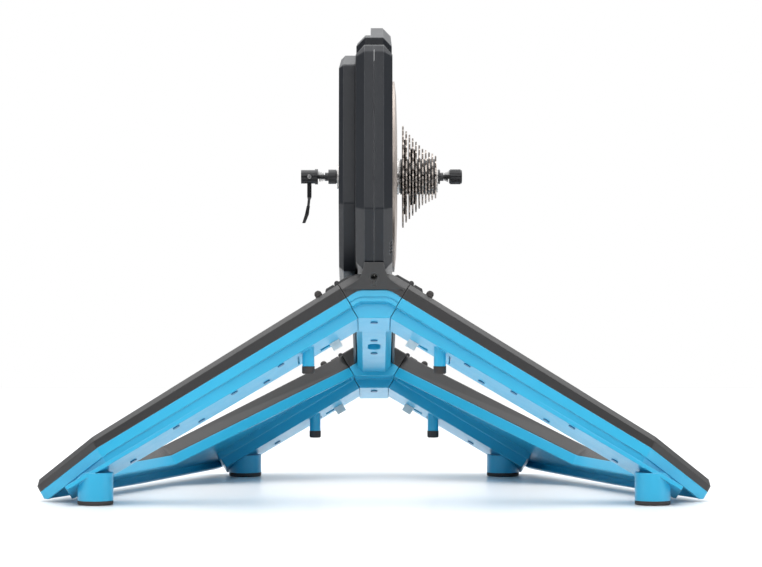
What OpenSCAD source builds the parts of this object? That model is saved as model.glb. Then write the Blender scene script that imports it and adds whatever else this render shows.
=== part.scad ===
// Direct drive bicycle trainer: a thin upright motor housing on a sloped spine,
// with a folding wing on each side. X runs across, +Y forwards, +Z up.
// The drive side with its sprockets is +X. The trainer is seen from behind at -Y.

/* [Base attitude] */
// Downward slope of the spine towards the front, degrees
tilt = 12.57; // [10:0.01:14]
// Slope of an unfolded wing across the spine, degrees
wing_drop = 30.6; // [28:0.1:32]
// Height of the wing root's top edge, level with the rear feet
root_z = 246; // [240:0.2:252]
// Distance of that edge from the middle plane
root_x = 40; // [38:0.5:44]

/* [Spine casting] */
// Where the rear cross-member starts, along the spine
rear_start = -3; // [-6:0.5:0]
// Length of the rear cross-member along the spine
rear_len = 86; // [78:1:90]
// Where the front cross-member starts, along the spine
front_start = 428; // [420:1:440]
// Length of the front cross-member along the spine
front_len = 101; // [92:1:110]
// Height of the cross-members, square to the wing planes
root_t = 44; // [42:0.5:47]
// Setback of the deep part of the front cross-member
front_setback = 24; // [16:1:30]
// Half width of the spine's flat underside
spine_flat = 13.75; // [11:0.25:16]
// Half width of the spine
spine_half = 20.5; // [18:0.25:23]
// Depth of the spine's underside below the root edges
spine_low = 21.8; // [20:0.2:24]
// Level of the spine's top, below the root edges
spine_top = 7.4; // [6:0.2:9]
// Half width of the flat on top of the cross-members
arch_half = 13.5; // [11:0.25:16]
// Height of the top band of the stepped rear face, from the arch down
step_drop = 13; // [11:0.5:14]
// Depth below the arch of the line along the top band
line_drop = 7.5; // [4:0.5:9]
// First underside screw, behind the split's rear edge
spine_screw_at = 29; // [20:1:60]
// Length of the oblong recess in the spine's underside
recess_len = 37; // [28:1:46]
// Width of the oblong recess
recess_w = 15; // [12:0.5:18]
// Depth of the oblong recess
recess_deep = 8; // [5:0.5:10]
// Where the oblong recess is centred, along the spine
recess_at = 262; // [240:1:290]

/* [Covers] */
// Thickness of the wing covers
cover_t = 19; // [16:0.5:21]
// Width of the chamfer round the wing covers
cover_chamfer = 6; // [4:0.5:8]
// Wall of the plastic covers
cover_wall = 3; // [2:0.5:4]
// Taper of the wing covers towards the tip, degrees
cover_taper = 0.75; // [0.4:0.05:1]
// Half width of the base cover along the spine
ridge_half = 25; // [23:0.5:28]
// Top of the rear cover above the root edges
rear_cover_top = 19.5; // [17:0.5:22]
// Overhang of the rear cover's top behind the cross-member
rear_cover_lean = 22; // [18:0.5:26]
// Half width of the rear cover's flat top
rear_cover_half = 11; // [9.5:0.25:14.5]
// Depth of the chamfer along the rear cover's shoulders
shoulder_chamfer = 8; // [6:0.5:9]

/* [Wings] */
// Distance along the wing from the root to the kink in its rear edge
kink_out = 323; // [310:1:336]
// Setback of the kink along the spine
kink_at = 28; // [20:1:36]
// Distance along the wing to its rear outer corner
tip_out = 404; // [396:1:410]
// Setback of the rear outer corner along the spine
tip_at = 92; // [84:1:100]
// Distance along the wing to its front outer corner
nose_out = 198; // [185:1:212]
// Width of the rear arm at the root
rear_arm_w = 86; // [80:1:90]
// Setback of the opening's rear outer corner
gap_rear_at = 112; // [106:1:124]
// Setback of the opening's front outer corner
gap_front_at = 326; // [316:1:336]
// Width of the outer bar
outer_bar = 41.4; // [38:0.2:44]
// Depth of the blue lip below the cover
lip_t = 12; // [10:0.5:14]
// Skin of the cast frame
cast_skin = 4; // [3:0.25:5]
// Split between the spine casting and each wing
split_gap = 0.8; // [0.5:0.1:1.2]
// Width of the deep rear rib
rib_w = 74; // [68:1:79]
// Setback of the deep rear rib at the root
rib_root_at = 4; // [2:0.5:6]
// Setback of the deep rear rib at its outer end
rib_end_at = 30; // [26:1:32]
// Thickness of the flange along the rear rib's foot
flange_t = 4.5; // [3.5:0.5:6]
// Setback of the rear rib's wall from the lip's edge
flange_in = 2; // [1:0.5:3]
// Width of the slot beside a rear post
slot_line_w = 2; // [1.5:0.25:3]
// Length of that slot along the spine
slot_line_len = 48; // [40:1:52]
// Length of the deep rear rib
rear_rib_len = 375; // [364:1:382]
// Taper of the deep ribs towards the tip, degrees
rib_taper = 0.25; // [0.1:0.05:0.8]
// Width of the deep front rib
front_rib_w = 60; // [50:1:68]
// Length of the deep front rib
front_rib_len = 193; // [184:1:200]
// Clearance of the wings' lowest edge above the floor
floor_gap = 3; // [2:0.5:6]
// Rounding of the wing's corners
wing_round = 7; // [4:0.5:10]
// Depth and width of the groove between the lip and the ribs
groove = 1.6; // [1:0.2:2.4]

/* [Feet] */
// Distance of the rear feet from the middle plane
rear_foot_x = 311; // [300:1:318]
// Distance of the front feet from the middle plane
front_foot_x = 161; // [150:1:170]
// Distance between the two rows of feet
foot_rows = 450; // [440:1:460]
// Diameter of a foot at the floor
foot_d = 40; // [36:0.5:42]
// Height of a rubber pad
pad_h = 4.5; // [3.5:0.25:6]
// Rounding of a rubber pad
pad_round = 1.5; // [0.8:0.1:2]
// Wall of a hollow foot
foot_wall = 5; // [4:0.5:7]

/* [Short posts] */
// Distance of the short posts from the middle plane
post_x = 73.5; // [68:0.5:80]
// Setback of the rear posts from the rear feet
rear_post_y = 9; // [6:0.5:14]
// Setback of the front posts from the rear feet
front_post_y = 445; // [442:0.5:450]
// Diameter of a short post
post_d = 14.3; // [12:0.5:16]
// Length of a short post below the rib
post_len = 17.5; // [14:0.5:22]
// Length of its rubber cap
post_cap = 8.5; // [6:0.5:11]

/* [Hinges] */
// Height of the hinge axis above the covers
hinge_rise = 3.3; // [3.3:0.1:3.8]
// Diameter of a hinge pin
hinge_pin_d = 3.4; // [2.6:0.2:3.6]
// Radius of the hinge knuckles
knuckle_r = 3; // [2.6:0.1:3]
// Running clearance of the pins
pin_play = 0.05; // [0.03:0.01:0.08]
// Length of a hinge
hinge_len = 60; // [48:1:70]
// Reach of a base leaf from its hinge's axis
leaf_reach = 20.5; // [16:0.5:21.5]
// Reach of a wing leaf from its hinge's axis
wing_leaf_reach = 16; // [13:0.5:18]
// Thickness of a hinge leaf
leaf_t = 4.2; // [3:0.2:4.4]
// Bevel along the edges of the leaves
leaf_bevel = 2.5; // [1:0.5:3]
// Gap between neighbouring knuckles
knuckle_gap = 0.4; // [0.3:0.1:0.8]
// Diameter of the rubber nubs on the covers
nub_d = 8.4; // [6:0.2:9]
// Height of the rubber nubs
nub_h = 7; // [5:0.5:8]
// Distance of a nub from the root
nub_out = 24.5; // [24.5:0.5:30]
// Furthest fold of a wing from its open place, degrees
fold_limit = 118; // [100:1:119]

/* [Latches] */
// Length of a latch pocket along the wing
latch_pocket = 24; // [22:0.5:28]
// Width of a latch pocket
latch_w = 12; // [10:0.5:14]
// Depth of a latch pocket
latch_deep = 5; // [4:0.5:6]
// Length of a latch clip
latch_len = 11.5; // [10:0.5:13]
// Drop of a latch clip's thumb tab below the rib
latch_tab = 9; // [7:0.5:12]
// Thickness of the thumb tab
latch_tab_t = 3; // [2.5:0.25:4]
// Travel of a latch clip
latch_travel = 8; // [6:0.5:10]
// Clearance of a latch clip in its pocket
latch_play = 0.25; // [0.15:0.05:0.3]
// Distance of a latch pocket from the root
latch_out = 25.5; // [24:0.5:28]

/* [Housing] */
// Distance of the housing's lower rear flat from the cross-member's top rear edge
flat_in = 4.99; // [4.5:0.01:6]
// Height of the axle
axle_z = 368.5; // [366:0.5:372]
// Distance from the axle to a flat of the octagonal rim
body_r = 212; // [208:0.5:216]
// Half width of the rim
rim_half = 10.8; // [9:0.2:12]
// Half width of the housing
body_half = 20.5; // [19.5:0.1:21.5]
// Depth of the chamfer between rim and side
body_bevel = 11; // [9:0.5:13]
// Wall of the housing
body_wall = 3.2; // [2.6:0.2:3.6]
// Slope of the housing's top, degrees
body_top_slope = 2.2; // [1.5:0.1:3]
// Rounding of the rim's corners
body_round = 5; // [3:0.5:8]
// Radius of the round opening in each shell
motor_hole_r = 96; // [92:1:104]
// Spacing of the vents in the right shell's lower rear bevel
vent_step = 4.4; // [3.6:0.1:5]
// Width of a vent
vent_w = 1.6; // [1.2:0.1:2]
// Length of a vent
vent_len = 6; // [4:0.5:8]

/* [Top cap] */
// Overall height of the trainer
total_h = 550.3; // [546:0.1:556]
// Rise of the cap's crest above the housing's rear top edge
cap_rise = 38.3; // [34:0.1:42]
// Slope of the cap's drive-side top, degrees
cap_slope = 5.6; // [5:0.1:6.2]
// Slope of the cap's other top, degrees
cap_low_slope = 3.9; // [3.4:0.1:4.4]
// Setback of the cap's rear face from the housing's rear top edge
cap_setback = 28; // [20:1:40]
// Width of the ridge along the cap
ridge_w = 4; // [3:0.25:5]

/* [Motor cover] */
// Distance from the axle to a flat of the cover
cover_r = 180; // [176:1:183]
// Outer face of the cover from the middle plane
cover_face = 39.4; // [38:0.2:40.4]
// Depth of the cover's bevel
cover_bevel = 5; // [4:0.5:7]
// Drop of the cover's rear top edge below the housing's
cover_top_in = 22; // [18:1:28]
// Slope of the cover's top, degrees
cover_top_slope = 5; // [4:0.5:6]

/* [Drive-side disc] */
// Radius of the disc
disc_r = 111; // [108:0.5:114]
// Height of the disc's crown from the middle plane
disc_face = 26.6; // [25.6:0.2:27.6]
// Thickness of the disc
disc_t = 2; // [1.5:0.1:2.6]
// Drop of the disc's edge
disc_drop = 3; // [2:0.25:3.6]
// Radius of the ring of slots
slot_ring_r = 38; // [36:0.5:42]
// Number of slots in the ring
slots = 24; // [16:1:30]
// Width of a slot
slot_w = 4; // [3:0.25:4.5]
// Length of a slot
slot_len = 9; // [7:0.5:10]
// Radius of the disc's bore
disc_bore_r = 24; // [22.5:0.5:27]

/* [Motor] */
// Radius of the rotor
rotor_r = 135; // [130:1:136]
// Thickness of the rotor's web
rotor_t = 8; // [6:0.5:9]
// Thickness of the rotor's rim
rotor_rim = 8; // [6:0.5:9]
// Depth of the rotor's rim
rotor_deep = 30; // [26:0.5:32]
// Drive-side face of the rotor from the middle plane
rotor_face = 14; // [12:0.5:15]
// Radius of the spokes' inner ends
hub_r = 21; // [19:0.5:23]
// Number of magnets
magnets = 32; // [24:2:40]
// Thickness of a magnet
magnet_t = 3; // [2.5:0.25:3.5]
// Width of a magnet
magnet_w = 20; // [16:0.5:21]
// Air gap between magnets and stator
air_gap = 1; // [0.8:0.1:1.5]
// Height of the stator ring
stator_h = 18; // [15:0.5:20]
// Radial width of the stator's back iron
stator_back = 9; // [7:0.5:11]
// Number of stator teeth
teeth = 36; // [24:3:42]
// Width of a stator tooth
tooth_w = 6; // [4:0.25:7]
// Wall of a coil round its tooth
coil_wall = 3; // [2:0.25:3.5]
// Thickness of the stator carrier
carrier_t = 4.5; // [4:0.25:4.75]
// Thickness of the motor mast
mast_t = 4; // [3:0.25:4.5]
// Width of the motor mast at its foot
mast_w = 110; // [90:2:130]
// Outer radius of the circuit board
board_r = 88; // [70:1:96]
// Inner radius of the circuit board
board_bore_r = 32; // [27:1:40]
// Radius of the lightening holes in the rotor's web
rotor_hole_r = 24; // [16:1:28]
// Distance of those holes from the axle
rotor_hole_ring = 70; // [62:1:80]
// Radius of the holes in the stator carrier
carrier_hole_r = 15; // [10:1:18]
// Distance of those holes from the axle
carrier_hole_ring = 55; // [50:1:64]

/* [Axle] */
// Radius of the axle inside the hub
axle_r = 7.5; // [7:0.1:8]
// Radius of the adapters' stubs that take the dropouts
stub_r = 4.9; // [4.7:0.05:5]
// Radius of the bore for the quick release rod
axle_bore_r = 2.58; // [2.56:0.01:2.6]
// Distance between the dropout faces
dropout_gap = 130; // [129:0.5:131]
// Drive-side dropout face from the middle plane
drive_face = 76.8; // [76:0.1:78]
// Length of an adapter's stub beyond its dropout face
stub_len = 4; // [3.5:0.25:5]
// Radius of the axle's spigots inside the adapters
spigot_r = 5.5; // [4:0.25:6]
// Length of those spigots
spigot_len = 6; // [4:0.5:7]
// Radius of the left spacer
spacer_r = 8.4; // [8:0.1:9.5]
// Length of the left spacer
spacer_len = 9; // [8:0.25:10]
// Radius of the light boss on the motor cover
boss_r = 14; // [11:0.5:18]
// Outer radius of the hub bearings
bearing_r = 14; // [13:0.25:15]
// Width of a hub bearing
bearing_w = 7; // [6:0.5:8]

/* [Cassette] */
// Middle of the largest sprocket from the middle plane
cog_start = 33.6; // [33:0.1:34.4]
// Distance between neighbouring sprockets
cog_pitch = 3.8; // [3.7:0.01:3.83]
// Thickness of a sprocket
cog_t = 1.7; // [1.5:0.05:1.8]
// Chain pitch
chain_pitch = 12.7; // [12.6:0.05:12.8]
// Radius of the freehub's splined body
freehub_r = 16.4; // [16:0.1:16.8]
// Number of freehub splines
splines = 9; // [8:1:10]
// Height of the freehub splines
spline_h = 1.2; // [0.9:0.1:1.5]
// Clearance between the freehub and what slides on it
spline_play = 0.1; // [0.06:0.02:0.2]
// Radius of the lockring
lockring_r = 18.3; // [18:0.1:18.5]

/* [Quick release] */
// Radius of the skewer rod
rod_r = 2.5; // [2.4:0.05:2.5]
// Radius of the cam head
head_r = 8.5; // [8:0.1:9]
// Length of the cam head
head_len = 19.6; // [18:0.2:21]
// Face of the cam head from the middle plane
head_face = 65.4; // [64:0.2:67]
// Width of the slot for the lever
lever_slot = 6.4; // [5.8:0.1:7]
// Thickness of the lever's cam
cam_t = 6; // [5.4:0.1:6.2]
// Radius of the lever's cam
cam_r = 6; // [5.5:0.1:6.5]
// Radius of the cam pin
cam_pin_r = 2.5; // [2:0.1:3]
// Distance of the cam pin from the head's face
cam_pin_in = 10; // [9:0.25:11]
// Reach of the lever's straight part below the axle
lever_straight = 34; // [30:0.5:38]
// Reach of the lever's tip below the axle
lever_reach = 54; // [48:0.5:60]
// Outward bend of the lever's tip
lever_bend = 6.5; // [4:0.25:9]
// Radius of the knurled nut
nut_r = 8.7; // [8:0.1:9.2]
// Length of the knurled nut
nut_len = 14.6; // [13:0.2:16]
// Drive-side nut face from the middle plane
nut_face = 87.4; // [86.5:0.1:89]
// Wire diameter of the springs
wire_d = 0.8; // [0.7:0.05:0.9]
// Radius of a spring's wide end
spring_wide = 6.2; // [5.6:0.1:6.6]
// Radius of a spring's narrow end
spring_narrow = 4; // [3.8:0.1:4.4]
// Curls of the left spring
left_curls = 3; // [3:1:4]
// Curls of the right spring
right_curls = 4; // [4:1:5]

/* [Small parts] */
// Radius of a screw head
screw_head_r = 4.15; // [3.6:0.05:4.5]
// Thickness of a screw head
screw_head_t = 1.2; // [0.8:0.1:1.6]
// Radius of a screw shank
screw_r = 2; // [1.6:0.1:2.3]
// Length of a screw shank
screw_len = 3; // [2.4:0.2:3.4]
// Radius of the round part of the power socket
socket_r = 4.6; // [4:0.1:5.4]
// Depth of the power socket
socket_deep = 9; // [7:0.5:11]
// Length of the power socket's tail
socket_tail = 6; // [4:0.5:8]
// Radius of a contact in the power socket
contact_r = 0.9; // [0.6:0.05:1.1]
// Height of the power socket above the root edges
socket_h = 5; // [4.5:0.25:7]

/* [Hidden] */

eps = 0.01;
ridge_rise = (root_x - spine_half) * tan(wing_drop);
cut = 400;
seat = 0.25;

function unit(v) = v / norm(v);
function left_of(v) = [-v.y, v.x];
function meet(p, d, q, e) = p + d * cross(q - p, e) / cross(d, e);

// A convex outline moved inwards by d; the points run anticlockwise.
function inset(p, d) = [for (i = [0 : len(p) - 1])
    let (n = len(p), b = p[i], u = unit(b - p[(i + n - 1) % n]), v = unit(p[(i + 1) % n] - b))
    meet(b + d * left_of(u), u, b + d * left_of(v), v)];

// A convex outline with each corner rounded by an arc of n steps.
function rounded(p, r, n) = [for (i = [0 : len(p) - 1])
    let (m = len(p), b = p[i], u = unit(b - p[(i + m - 1) % m]), v = unit(p[(i + 1) % m] - b),
        turn = atan2(cross(u, v), u * v), c = b - u * r * tan(turn / 2) + r * left_of(u),
        from = atan2(u.y, u.x) - 90)
    for (k = [0 : n]) c + r * [cos(from + turn * k / n), sin(from + turn * k / n)]];

// A sharp outline moved inwards by d, then rounded as if it had been rounded first.
function soft(p, d, r) = rounded(inset(p, d), max(r - d, 0.8), 4);

// World places of a point given along the spine and above it.
function spine_y(s, h) = s * cos(tilt) + h * sin(tilt);
function spine_s(y, z) = y * cos(tilt) - (z - root_z) * sin(tilt);
function spine_h(y, z) = y * sin(tilt) + (z - root_z) * cos(tilt);
function wing_h(a, b) = b * cos(wing_drop) - a * sin(wing_drop);

// The wing's outline, seen square to its plane, from root to tip and back.
root_back = rear_start;
root_front = front_start + front_len;
beyond = 60;
rear_edge_slope = (kink_at - rear_start) / kink_out;
wing_corners = [[-beyond, root_back - beyond * rear_edge_slope], [kink_out, kink_at],
    [tip_out, tip_at], [nose_out, root_front], [-beyond, root_front]];
function wing_line(d) = soft(wing_corners, d, wing_round);
function gap_line(d) = soft(gap_corners, -d, wing_round);
tip_edge = unit([nose_out, root_front] - [tip_out, tip_at]);
bar_line = [tip_out, tip_at] + outer_bar * left_of(tip_edge);
gap_rear = bar_line + tip_edge * (gap_rear_at - bar_line.y) / tip_edge.y;
gap_front = bar_line + tip_edge * (gap_front_at - bar_line.y) / tip_edge.y;
gap_root_rear = rear_start + rear_arm_w;
arm_slope = (gap_rear.y - gap_root_rear) / gap_rear.x;
front_slope = (front_start - gap_front.y) / gap_front.x;
gap_corners = [[-beyond, gap_root_rear - beyond * arm_slope], gap_rear, gap_front,
    [-beyond, front_start + beyond * front_slope]];
front_rib_at = front_start + front_setback;

// The housing's outline in the side view, as distance forwards and height.
facet = 45;
function flat_dir(k) = [cos(k * facet - tilt), sin(k * facet - tilt)];
axle_rise = axle_z - root_z;
axle_y = (sqrt(2) * (body_r + flat_in) + rear_start - spine_top - axle_rise * (cos(tilt) - sin(tilt)))
    / (cos(tilt) + sin(tilt));
axle_yz = [axle_y, axle_z];
function flat_meet(i, j, r) = meet(axle_yz + r * flat_dir(i), left_of(flat_dir(i)),
    axle_yz + r * flat_dir(j), left_of(flat_dir(j)));
function slope_dir(a) = [cos(a), sin(a)];
function top_meet(k, r, p, a) = meet(axle_yz + r * flat_dir(k), left_of(flat_dir(k)), p, slope_dir(a));
seat_line = [spine_y(0, ridge_rise + seat), root_z + (ridge_rise + seat) * cos(tilt)];
seat_slope = [cos(tilt), -sin(tilt)];
function seat_meet(k, r) = meet(axle_yz + r * flat_dir(k), left_of(flat_dir(k)), seat_line, seat_slope);

body_rear_z = total_h - cap_rise;
rear_top = top_meet(4, body_r, [axle_y, body_rear_z - 8], 0);
body_rear_top = [rear_top.x + 7, body_rear_z];
body_top_front = top_meet(1, body_r, body_rear_top, body_top_slope);
body_corners = [rear_top, flat_meet(4, 5, body_r), seat_meet(5, body_r), seat_meet(7, body_r),
    flat_meet(7, 8, body_r), flat_meet(8, 1, body_r), body_top_front, body_rear_top];
function body_line(d) = soft(body_corners, d, body_round);

cover_top_p = [axle_y - cover_r, body_rear_z - cover_top_in];
cover_rear_top = top_meet(4, cover_r, cover_top_p, cover_top_slope);
cover_top_front = top_meet(1, cover_r, cover_top_p, cover_top_slope);
motor_seat = 8;
function high_seat_meet(k, r) = meet(axle_yz + r * flat_dir(k), left_of(flat_dir(k)),
    seat_line + [0, motor_seat], seat_slope);
cover_corners = [cover_rear_top, flat_meet(4, 5, cover_r), high_seat_meet(5, cover_r),
    high_seat_meet(7, cover_r), flat_meet(7, 8, cover_r), flat_meet(8, 1, cover_r),
    cover_top_front];
function cover_line(d) = soft(cover_corners, d, body_round);

// The part's own middle along Y, so that it stands centred on its origin.
body_back = min([for (p = body_line(0)) p.x]);
base_front = spine_y(root_front, ridge_rise);
y_shift = -(body_back + base_front) / 2;
axle_row_y = axle_y + y_shift;

axle_left = dropout_gap - drive_face;
cog_teeth = [28, 25, 23, 21, 19, 17, 15, 14, 13, 12, 11];
function cog_x(i) = cog_start + i * cog_pitch;

module spine_frame() {
    translate([0, y_shift, root_z]) rotate([-tilt, 0, 0]) children();
}

// Local x runs outwards along the wing, y along the spine, z square to the cover.
module wing_place(side) {
    spine_frame() mirror([side < 0 ? 1 : 0, 0, 0]) translate([root_x, 0, 0])
        rotate([0, wing_drop, 0]) children();
}

module both_sides() {
    children();
    mirror([1, 0, 0]) children();
}

module slab(points, low, high) {
    translate([0, 0, low]) linear_extrude(high - low) polygon(points);
}

// Cylinders and outlines about the axle, along X.
module on_axle() {
    translate([0, axle_row_y, axle_z]) rotate([0, 90, 0]) children();
}

module ring(r, bore, from, to) {
    on_axle() translate([0, 0, from]) difference() {
        cylinder(r = r, h = to - from, $fn = 96);
        translate([0, 0, -1]) cylinder(r = bore, h = to - from + 2, $fn = 96);
    }
}

// A side-view outline made thick along X.
module plate(points, from, to) {
    translate([from, y_shift, 0]) rotate([90, 0, 90]) linear_extrude(to - from) polygon(points);
}

// Spine casting.
split_low = [root_x - root_t * sin(wing_drop), -root_t * cos(wing_drop)];
split_mid = [root_x - cover_t * sin(wing_drop), -cover_t * cos(wing_drop)];
deep_low = [root_x - (cover_t + lip_t) * sin(wing_drop), -(cover_t + lip_t) * cos(wing_drop)];
shoulder_x = split_mid.x - 4;
shoulder_h = split_mid.y + 3;

// The arched top of the cross-members, raised by d.
arch_side = 6;
arch_drop = 1.8;
function arch(d) = [[shoulder_x, shoulder_h + d], [arch_half + arch_side, d - arch_drop - spine_top],
    [arch_half, d - spine_top], [-arch_half, d - spine_top],
    [-arch_half - arch_side, d - arch_drop - spine_top], [-shoulder_x, shoulder_h + d]];

// The lower edge of the rear face's top band, which follows the arch.
step_top = -spine_top - step_drop;
step_mid = [(arch_half + deep_low.x) / 2, deep_low.y + 0.65 * (step_top - deep_low.y)];

module rear_step() {
    polygon(concat([split_mid], arch(0), [[-split_mid.x, split_mid.y], [-deep_low.x, deep_low.y],
        [-step_mid.x, step_mid.y], [-arch_half, step_top], [arch_half, step_top],
        step_mid, deep_low]));
}

// A shallow groove that follows the arch from split to split.
line_end = shoulder_h - (root_x - shoulder_x) * tan(wing_drop);

module arched_line() {
    above = concat([[root_x, line_end - line_drop]], arch(-line_drop), [[-root_x, line_end - line_drop]]);
    polygon(concat(above, [for (i = [len(above) - 1 : -1 : 0]) above[i] - [0, groove]]));
}

module cross_section(low) {
    polygon(concat([[-low.x, low.y], [low.x, low.y], split_mid], arch(0), [[-split_mid.x, split_mid.y]]));
}

module along_spine(from, to) {
    translate([0, to, 0]) rotate([90, 0, 0]) linear_extrude(to - from) children();
}

module spine_screw_places() {
    for (p = [[spine_screw_at, split_low.y], [front_rib_at + 22, split_low.y]])
        translate([0, p[0], p[1]]) children();
    for (s = [recess_at - recess_len / 2 - 22, recess_at + recess_len / 2 + 22])
        translate([0, s, -spine_low]) children();
}

module screw_hole() {
    translate([0, 0, -eps]) cylinder(r = screw_r + 0.05, h = screw_len + 0.3, $fn = 24);
}

module screw() {
    translate([0, 0, -screw_head_t]) cylinder(r = screw_head_r, h = screw_head_t, $fn = 32);
    cylinder(r = screw_r, h = screw_len, $fn = 24);
    translate([0, 0, -eps]) cylinder(r = screw_r, h = 2 * eps, $fn = 24);
}

module base_spine() color([0.22, 0.62, 0.85]) spine_frame() difference() {
    union() {
        along_spine(rear_start, rear_start + rear_len) rear_step();
        along_spine(rib_root_at, rear_start + rear_len) cross_section(split_low);
        along_spine(front_start, root_front) cross_section(deep_low);
        along_spine(front_rib_at, root_front) cross_section(split_low);
        along_spine(rear_start + rear_len - 1, front_start + 1)
            polygon([[-spine_flat, -spine_low], [spine_flat, -spine_low],
                [spine_half, -spine_low + 7], [spine_half, -spine_top],
                [-spine_half, -spine_top], [-spine_half, -spine_low + 7]]);
    }
    translate([0, recess_at, -spine_low - 1]) {
        for (d = [-1, 1]) translate([0, d * (recess_len - recess_w) / 2, 0])
            cylinder(d = recess_w, h = recess_deep + 1, $fn = 48);
        translate([-recess_w / 2, -(recess_len - recess_w) / 2, 0])
            cube([recess_w, recess_len - recess_w, recess_deep + 1]);
    }
    along_spine(rear_start - 1, rear_start + groove / 2) arched_line();
    spine_screw_places() screw_hole();
}

module spine_screws() color([0.25, 0.3, 0.34]) spine_frame() spine_screw_places() screw();

// Base cover: a hollow black moulding over the cross-members and the spine.
module roof_section(d) {
    polygon(concat([[-split_mid.x + d, split_mid.y + seat - (d > 0 ? 1 : 0)],
        [-root_x + 1.2 * d, -1.2 * d], [-spine_half, ridge_rise - d],
        [spine_half, ridge_rise - d], [root_x - 1.2 * d, -1.2 * d],
        [split_mid.x - d, split_mid.y + seat - (d > 0 ? 1 : 0)]], arch(seat - (d > 0 ? 1 : 0))));
}

module ridge_section(d) {
    polygon([[-ridge_half + d, -spine_low / 2], [-ridge_half + d, ridge_rise / 2 - d / 2],
        [-spine_half + d / 2, ridge_rise - d], [spine_half - d / 2, ridge_rise - d],
        [ridge_half - d, ridge_rise / 2 - d / 2], [ridge_half - d, -spine_low / 2]]);
}

module under_roof() {
    polygon(concat([[-shoulder_x, -root_t], [shoulder_x, -root_t]], arch(seat)));
}

module base_cover() color([0.1, 0.11, 0.12]) difference() {
    spine_frame() difference() {
        union() {
            along_spine(rear_cover_end, rear_start + rear_len) roof_section(0);
            along_spine(front_start, root_front) roof_section(0);
            along_spine(rear_start + rear_len - 1, front_start + 1) ridge_section(0);
        }
        along_spine(rear_cover_end + cover_wall, rear_start + rear_len - cover_wall)
            roof_section(cover_wall);
        along_spine(front_start + cover_wall, root_front - cover_wall) roof_section(cover_wall);
        along_spine(rear_start + rear_len - 2 * cover_wall, front_start + 2 * cover_wall)
            ridge_section(cover_wall);
        along_spine(rear_start + rear_len - 2, front_start + 2)
            polygon([[-spine_half - seat, -spine_low - 1], [spine_half + seat, -spine_low - 1],
                [spine_half + seat, seat - spine_top], [-spine_half - seat, seat - spine_top]]);
        along_spine(rear_start + rear_len - 2, rear_start + rear_len + seat) under_roof();
        along_spine(front_start - seat, front_start + 2) under_roof();
    }
    mast_room();
}

// Rear cover: the leaning black plate under the housing, with the power socket's pocket.
// Its neck curves in from the lower edge of the shoulders' chamfer.
shoulder_low = [(root_x + split_mid.x) / 2, split_mid.y / 2];
neck = [[shoulder_low.x, shoulder_low.y], [rear_cover_half + 7.6, 2.4], [rear_cover_half + 4.5, 5.5],
    [rear_cover_half + 2.3, 9.4], [rear_cover_half + 0.7, 13.7], [rear_cover_half, rear_cover_top]];

module rear_face_section() {
    polygon(concat([[-split_mid.x, split_mid.y + seat]], [for (p = neck) [-p.x, p.y]],
        [for (i = [len(neck) - 1 : -1 : 0]) neck[i]], [[split_mid.x, split_mid.y + seat]], arch(seat)));
}

// What the chamfer along the shoulders takes away on one side.
module shoulder_cut() {
    translate([root_x, 0, 0]) rotate([0, wing_drop, 0]) translate([0, rear_start, -shoulder_chamfer])
        rotate([atan(shoulder_chamfer / cover_chamfer), 0, 0]) translate([-cut / 2, -root_x, 0])
        cube([cut, 2 * root_x, root_x]);
}

module rear_hollow_section() {
    w = cover_wall;
    top = ridge_rise - w - 5;
    polygon([[-shoulder_x - w, shoulder_h + w / 2], [-shoulder_x + 1, shoulder_h + w],
        [-arch_half - arch_side + 1, w - arch_drop - spine_top], [1 - arch_half, w - spine_top],
        [arch_half - 1, w - spine_top], [arch_half + arch_side - 1, w - arch_drop - spine_top],
        [shoulder_x - 1, shoulder_h + w], [shoulder_x + w, shoulder_h + w / 2],
        [root_x - 9, -6.5], [spine_half - 1, top], [1 - spine_half, top], [9 - root_x, -6.5]]);
}

rear_overhang = 2;
lean = atan2(rear_cover_lean - rear_overhang, rear_cover_top + spine_top);
rear_cover_end = rear_start + 8;

module socket_place() {
    spine_frame() translate([0, rear_start - rear_overhang, -spine_top]) rotate([lean, 0, 0])
        translate([0, 0, (socket_h + spine_top) / cos(lean)]) rotate([90, 0, 0]) children();
}

module socket_shape(grow, low, high) {
    translate([0, 0, low]) cylinder(r = socket_r + grow, h = high - low, $fn = 48);
    translate([-1.6 - grow, -socket_r - socket_tail - grow, low])
        cube([3.2 + 2 * grow, socket_r + socket_tail, high - low]);
}

module rear_cover() color([0.13, 0.15, 0.17]) difference() {
    spine_frame() {
        difference() {
            along_spine(rear_start, rear_cover_end - seat) roof_section(0);
            both_sides() shoulder_cut();
            along_spine(rear_start + cover_wall, rear_cover_end + 1) rear_hollow_section();
        }
        intersection() {
            along_spine(rear_start - rear_cover_lean - 12, rear_start + 1) rear_face_section();
            translate([-cut / 2, 0, 0]) rotate([90, 0, 90]) linear_extrude(cut)
                polygon([[rear_start, -root_x], [rear_start + 1, -root_x], [rear_start + 1, root_x],
                    [rear_start - rear_cover_lean - 12 * tan(lean), rear_cover_top + 12],
                    [rear_start - rear_overhang, -spine_top], [rear_start, -spine_top]]);
        }
    }
    body_solid(seat);
    socket_place() socket_shape(0.2, -socket_deep, 5);
}

module power_socket() color([0.05, 0.05, 0.06]) socket_place() difference() {
    socket_shape(0, -socket_deep + 0.2, 0);
    translate([0, 0, -socket_deep + 2]) cylinder(r = socket_r - 1, h = socket_deep, $fn = 48);
    contact_places() cylinder(r = contact_r, h = 3, $fn = 24);
}

module contact_places() for (d = [-1, 1]) translate([0, d * 1.7, -socket_deep + 0.8]) children();

module socket_contacts() color([0.85, 0.85, 0.85]) socket_place()
    contact_places() cylinder(r = contact_r, h = 1.15, $fn = 24);

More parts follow.
